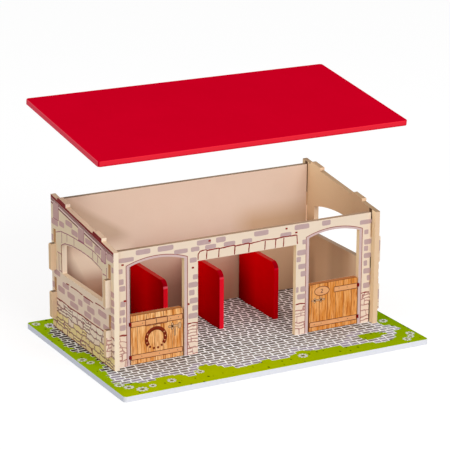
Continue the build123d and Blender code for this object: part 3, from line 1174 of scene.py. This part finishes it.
back_brick_gaps = (6, 30, 48, 70)
back_brick_height = 7.5


def spot(start, end, low, high, flip=1):
    """Middle, length and height of an oblong."""
    return flip * (start + end) / 2, (low + high) / 2, end - start, high - low


def oblongs(boxes):
    return points([spot(*box) for box in boxes])


def bricks(rows, flip):
    return oblongs([(*brick, low, high, flip) for low, high, row in rows for brick in row])


def back_brick_rows():
    """Rows for the back, where bricks are strewn by chance."""
    chance = random.Random(7)
    rows = []
    for low in back_row_heights:
        start = back_first + chance.uniform(0, 30)
        row = []
        while start < back_last:
            length = chance.uniform(*back_brick_lengths)
            row.append((start, start + length))
            start += length + chance.choice(back_brick_gaps)
        rows.append((low, low + back_brick_height, row))
    return rows


for name, rows, sheet, flip, material in (
    ("front_wall_bricks", front_bricks, front, 1, plum_brick),
    ("left_wall_bricks", side_bricks, left, -1, rose_brick),
    ("right_wall_bricks", side_bricks, right, 1, rose_brick),
    ("back_wall_bricks", back_brick_rows(), back, 1, rose_brick),
):
    grow(name, bricks(rows, flip), patches, material, sheet)

# %% [markdown]
# ## Drawn lines
# Stones over the openings, the edge of the rubble and the window's surround are
# drawn with a pen. Each line is a path with a flat oblong swept along it, and its
# width swells and shrinks with noise so that it looks drawn.

# %% Lines on the front
lintel_bottom, joint_top = 136.2, 149
lintel_joints = (-65, -46, -21, 1.5, 27, 44, 57)
lintel_top = (
    (-78, 137), (-78, 145), (-75, 149), (-66, 150), (-64, 148.5), (-46, 149.5), (-44, 148.5),
    (-22, 150), (-19, 148.5), (1, 149.5), (4, 148.5), (27, 150.5), (44, 149.5), (57, 150.5),
    (79, 150), (80, 137),
)
pillar_edges = ((-200, -188), (-94, -78.5), (78.5, 94), (188, 202))
front_lines = [lintel_top] + [((u, lintel_bottom), (u + 1, joint_top)) for u in lintel_joints]
front_lines += [((u0, 46), ((u0 + u1) / 2, 46.8), (u1, 45.6)) for u0, u1 in pillar_edges]
grow("front_wall_lines", paths(front_lines), lines, oxblood_line, front, Width=1.6)

front_specks = ((-193, 147), (-190, 95), (-60, 162), (-86, 127), (62, 162), (78, 154), (-93, 75))
speck_size = (3.6, 2.6)
specks = points([(u, v, *speck_size) for u, v in front_specks])
grow("front_wall_specks", specks, patches, oxblood_line, front, Thickness=0.12)

# %% Lines on the sides and the back
side_oxblood_lines = (
    ((133, 47), (100, 47.5), (70, 46), (30, 47.5), (0, 46.5), (-40, 47.5), (-72, 46.5)),
    ((85, 79), (75, 79.5)),
    ((70, 79), (50, 79.6), (30, 78.5)),
    ((27, 78), (10, 78.4), (-5, 78)),
    ((-12, 80), (-28, 81), (-42, 80.5)),
    ((99.4, 90), (99.8, 132)),
)
side_umber_lines = (
    ((99, 132), (88, 137), (64, 141), (31, 142.2), (-2, 141), (-26, 137), (-36, 134)),
    ((118, 146), (100, 152), (80, 153.5), (60, 154.5), (20, 155), (-10, 153.5), (-28, 150), (-45, 146)),
    ((98, 135), (98, 151.5)), ((80, 142), (80, 153)), ((56, 142.5), (56, 154)),
    ((-6, 142), (-6, 153)), ((-22, 140), (-22, 151)), ((109, 92), (109, 118)),
    ((101, 118), (114, 118)), ((101, 92), (109, 92)), ((-50, 118), (-50, 142)),
    ((-38, 130), (-50, 130)),
)
side_posts = ((165, 190, ((108, 127),)), (156, 174.5, ((22, 42),)), (147, 165, ((-48, -33),)))
post_outlines = [((u0, high), (u0, low), (u1, low)) for low, high, ((u0, u1),) in side_posts]


def drawn(lines_on_y, flip):
    return paths([[(flip * y, v) for y, v in line] for line in lines_on_y])


for name, sheet, flip in (("left", left, -1), ("right", right, 1)):
    strokes = drawn(side_oxblood_lines, flip)
    grow(f"{name}_wall_oxblood_lines", strokes, lines, oxblood_line, sheet, Width=1.6)
    strokes = drawn([*side_umber_lines, *post_outlines], flip)
    grow(f"{name}_wall_umber_lines", strokes, lines, umber_line, sheet, Width=1.2)
    grow(f"{name}_wall_posts", bricks(side_posts, flip), patches, rose_brick, sheet, Square=0.2)

back_line = ((-202, 46.5), (-120, 47.5), (-40, 46), (40, 47.5), (120, 46), (202, 47))
grow("back_wall_lines", paths([back_line]), lines, oxblood_line, back, Width=0.9)

# %% [markdown]
# ## What is drawn on the doors
# Each half-door has printed cross straps with nail heads, a plate with the stall's
# number, and a small bolt. The left door has a horseshoe as well, the old sign for
# luck over any stable. All of it is ink again, in layers.

# %% Door inks
strap_tan = ink(240, 178, 126), ink(232, 162, 106)
strap_grain = ink(216, 140, 80)


def strap_wood():
    finish = Finish("door_strap_ink")
    grain = finish.noise((finish.x * 0.1, finish.y, finish.z), 1.6)
    colour = finish.mix(finish.clouds(16), *strap_tan)
    colour = finish.mix(grain.rise(0.6, 0.1) * 0.5, colour, strap_grain)
    roughness = 0.4 + grain * 0.1
    return finish.surface(colour, roughness, bump=grain, depth=0.02, shine=0.05)


strap_ink = strap_wood()
door_line = plain_ink("door_line_ink", (116, 50, 34), (96, 38, 28))
iron_line = plain_ink("bolt_line_ink", (138, 96, 70), (120, 80, 60))
iron_ink = plain_ink("bolt_ink", (226, 180, 138), (210, 162, 120))
horseshoe_ink = plain_ink("horseshoe_ink", (132, 46, 24), (114, 34, 18))
nail_ink = plain_ink("nail_ink", (112, 84, 78), (92, 66, 62))


def oblong(start, end, low, high):
    """A closed outline."""
    return ((start, low), (end, low), (end, high), (start, high), (start, low))


def oval(start, end, low, high, turns=24):
    u, v, length, height = spot(start, end, low, high)
    corners = [math.tau * k / turns for k in range(turns + 1)]
    return [(u + length / 2 * math.cos(a), v + height / 2 * math.sin(a)) for a in corners]


def print_door(side, straps, outlines, plate, plate_square, bolts, bolt_lines, nails, number):
    """Lay one door's inks, the lowest first."""

    def lay(what, start, pattern, material, **sizes):
        grow(f"{side}_door_{what}", start, pattern, material, doors[side], **sizes)

    flat = {"Wobble": 0.3, "Square": 0.12}
    heads = points([(u, v, *nail_head) for u, v in nails])
    lay("straps", oblongs(straps), patches, strap_ink, **flat)
    lay("plate", oblongs([plate]), patches, strap_ink, Thickness=0.09, Square=plate_square, Wobble=0.3)
    lay("bolts", oblongs(bolts), patches, iron_ink, Thickness=0.08, **flat)
    lay("outlines", paths(outlines), lines, door_line, Width=0.85, Rise=0.06, Wobble=0.4)
    lay("bolt_outlines", paths(bolt_lines), lines, iron_line, Width=0.6, Rise=0.06, Wobble=0.3)
    lay("number", paths([number]), lines, nail_ink, Width=0.9, Rise=0.08, Wobble=0.2, Uneven=0.6)
    lay("nails", heads, patches, nail_ink, Thickness=0.1, Square=1.0, Wobble=0.3)


nail_head = (1.3, 1.2)
strap_low, strap_high = (7.5, 14.5), (55.2, 62.8)
left_plate = (-159, -125.5, 54, 63.5)
left_bolts = ((-124, -109, 45.6, 48.4), (-119.5, -116.5, 42.5, 52), (-115, -113, 33, 45))
left_knob = (-109, -104, 42, 51)
left_nails = (
    (-165, 11), (-138, 10.8), (-123, 11.4), (-110, 10.8), (-163.5, 59), (-120.5, 58.5), (-108.5, 59),
)
number_one = (-143.8, 60.2), (-142.2, 61.6), (-142.2, 56.2)
right_plate = (109.5, 134, 53.5, 67)
right_bolts = ((105.5, 127, 46, 48.4), (108.8, 111.4, 43.5, 51), (119.2, 121.8, 43.5, 51))
right_nails = (110, 10.8), (121.5, 11.4), (150, 11.2), (166, 10.8), (150.5, 60), (164, 59.6)
number_two = (
    (119.9, 61.6), (120.6, 63), (122.2, 63.2), (123.2, 62), (122.6, 60.4), (120, 57.6), (123.6, 57.6),
)
print_door(
    "left",
    straps=((-181, -101.8, *strap_low), (-181, -101.8, *strap_high)),
    outlines=[oblong(-181, -102, *strap_low), oblong(-181, -102, *strap_high), oblong(*left_plate)],
    plate=left_plate,
    plate_square=0.12,
    bolts=(*left_bolts, left_knob),
    bolt_lines=[*(oblong(*bolt) for bolt in left_bolts), oval(*left_knob, 16)],
    nails=left_nails,
    number=number_one,
)
print_door(
    "right",
    straps=((101.8, 181, *strap_low), (142, 181, *strap_high)),
    outlines=[oblong(102, 181, *strap_low), oblong(142, 181, *strap_high), oval(*right_plate)],
    plate=right_plate,
    plate_square=1.0,
    bolts=right_bolts,
    bolt_lines=[oblong(*bolt) for bolt in right_bolts],
    nails=right_nails,
    number=number_two,
)

# %% The horseshoe
shoe_middle = (-143.3, 34.0)
shoe_radius = 14.6
shoe_width = 5.3
shoe_steps = 24
shoe_open = 52.0
nail_hole = (1.5, 1.9)
nail_hole_angles = (-20, 5, 30, 150, 175, 200)
stud = (3.2, 3.4)
stud_angles = (-52, -77, -103, -128)


def around(angle):
    """A place on the horseshoe's middle line."""
    turn = math.radians(angle)
    return shoe_middle[0] + shoe_radius * math.cos(turn), shoe_middle[1] + shoe_radius * math.sin(turn)


shoe_sweep = 360 - 2 * shoe_open
shoe = paths([[around(-90 + shoe_open + shoe_sweep * k / shoe_steps) for k in range(shoe_steps + 1)]])
holes = points([(*around(angle), *nail_hole) for angle in nail_hole_angles])
studs = points([(*around(angle), *stud) for angle in stud_angles])
on_door = doors["left"]
grow("horseshoe", shoe, lines, horseshoe_ink, on_door, Width=shoe_width, Wobble=0.2, Uneven=0.15)
hole = {"Thickness": 0.12, "Square": 0.8, "Wobble": 0.2}
grow("horseshoe_nail_holes", holes, patches, strap_ink, on_door, **hole)
grow("horseshoe_studs", studs, patches, horseshoe_ink, on_door, Square=0.7, Wobble=0.5)

# %% [markdown]
# ## Daisies in the grass
# White daisies stand at the edges of the meadow. One petal is put round a ring of
# points, and that flower is put on every point of the meadow, turned by chance.

# %% Daisies
daisies_at = (
    (-232, -12, 15), (-226, -27, 13), (-227, -121, 15), (-219, -134, 15), (-206, -148, 18),
    (-188, -143, 12), (-157, -138, 15), (-108, -127, 13), (47, -139, 17), (212, -150, 14),
    (223, -143, 12), (229, -132, 15), (223, -70, 15), (-230.5, 151, 14), (-215, 137, 19),
    (-212, 124, 11),
)
petals_round = 9


def daisy_pattern(petals):
    """Flowers on points: the petals, or with petals=0 the hearts."""
    name = "daisy_petals" if petals else "daisy_hearts"
    daisies = Pattern(name, Thickness=0.07, Sunk=0.02, Wobble=0.8)
    filled = {"fill_type": "NGON"}
    if petals:
        petal = daisies.shape("MeshCircle", filled, 10, 0.5)
        ring = daisies.shape("MeshCircle", {}, petals, 0.34)
        x, y, _ = daisies.axes(daisies.place)
        turns = {"Rotation": (0, 0, y.maths("ARCTAN2", x)), "Scale": (0.30, 0.205, 1.0)}
        flower = daisies.shape("InstanceOnPoints", {}, ring, Instance=petal, **turns)
    else:
        flower = daisies.shape("MeshCircle", filled, 12, 0.15)
    turn = (0, 0, daisies.carried("turn"))
    size = (daisies.carried("size"), daisies.carried("size") * 0.9, 1.0)
    meadow = daisies.wobbled(daisies.on_points(flower, Rotation=turn, Scale=size), 4.0)
    return daisies.close(daisies.thickened(meadow))


petal_white = plain_ink("daisy_petal_ink", (240, 240, 238), (206, 204, 212), 0.35)
heart_grey = plain_ink("daisy_heart_ink", (128, 112, 84), (104, 96, 92), 0.35)
chance = random.Random(11)
meadow = [(x, y, size, chance.uniform(0, math.tau)) for x, y, size in daisies_at]
for petals, material in ((petals_round, petal_white), (0, heart_grey)):
    flowers = daisy_pattern(petals)
    grow(flowers.tree.name, points(meadow, ("size", "turn")), flowers, material, ground)

# %% [markdown]
# ## Floor and light
# A catalogue picture has a white ground and light from large soft boxes. The world
# gives an even light, one large lamp in front lifts the front, and the ground is
# white to the camera but keeps the toy's soft shadow. A flat lamp under the lifted
# roof stands in for the sky that the roof hides.

# %% Floor, lamps and world
white = (1, 1, 1, 1)
floor_grey = (0.4, 0.4, 0.4, 1)
floor_glow = 0.70
world_level = 0.65
box_size = 1.8
toy_middle = Vector((0, 0, 0.12))
lid_left_x = -165
lid_gap = 8.0
lid_power = 0.20


def seen(graph):
    """1 for a ray that the viewer sees directly, in a mirror or through glass."""
    path = graph.node("ShaderNodeLightPath", {})
    return path["Is Camera Ray"].most(path["Is Glossy Ray"]).most(path["Is Transmission Ray"])


def studio_floor():
    bpy.ops.mesh.primitive_plane_add(size=40, location=(0, 0, -0.0002))
    floor = bpy.context.object
    floor.name = "studio_floor"
    paper = Finish("studio_floor")
    matt = paper.node("ShaderNodeBsdfDiffuse", {}, Color=floor_grey)["BSDF"]
    glow = paper.node("ShaderNodeEmission", {}, Color=white, Strength=seen(paper) * floor_glow)
    both = paper.node("ShaderNodeAddShader", {}, matt, glow["Emission"])["Shader"]
    paper.node("ShaderNodeOutputMaterial", {}, both)
    floor.data.materials.append(paper.material)


def even_world(level):
    world = bpy.data.worlds.new("studio_world")
    bpy.context.scene.world = world
    world.use_nodes = True
    sky = Graph(world.node_tree)
    strength = seen(sky) * (1 - level) + level
    light = sky.node("ShaderNodeBackground", {}, Color=white, Strength=strength)["Background"]
    sky.node("ShaderNodeOutputWorld", {}, light)


def area_lamp(name, place, power, **settings):
    light = bpy.data.lights.new(name, "AREA")
    light.energy = power
    for setting, value in settings.items():
        setattr(light, setting, value)
    lamp = put(name, light)
    lamp.location = place
    return lamp


def lid_lamp(power):
    """The flat lamp lights all but the roof, and is not seen itself."""
    across, along = (half_width - lid_left_x) * mm, (back_face_y - front_face_y) * mm
    middle = (lid_left_x + half_width) / 2, (back_face_y + front_face_y) / 2
    place = Vector((*middle, side_high.z + lid_gap)) * mm
    lamp = area_lamp("lid_lamp", place, power, shape="RECTANGLE", size=across, size_y=along)
    lamp.visible_camera = False
    lamp.visible_glossy = False
    lit = bpy.data.collections.new("lit_inside")
    for name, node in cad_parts.items():
        if name != "roof_panel":
            lit.objects.link(node)
    lamp.light_linking.receiver_collection = lit


studio_floor()
even_world(world_level)
lid_lamp(lid_power)
for name, place, power in (("front_box", (0.4, -2.7, 1.5), 44), ("left_box", (-2.6, -0.7, 1.2), 9)):
    soft_box = area_lamp(name, place, power, shape="SQUARE", size=box_size)
    soft_box.rotation_euler = (toy_middle - Vector(place)).to_track_quat("-Z", "Y").to_euler()
bpy.context.scene.view_settings.view_transform = "Standard"
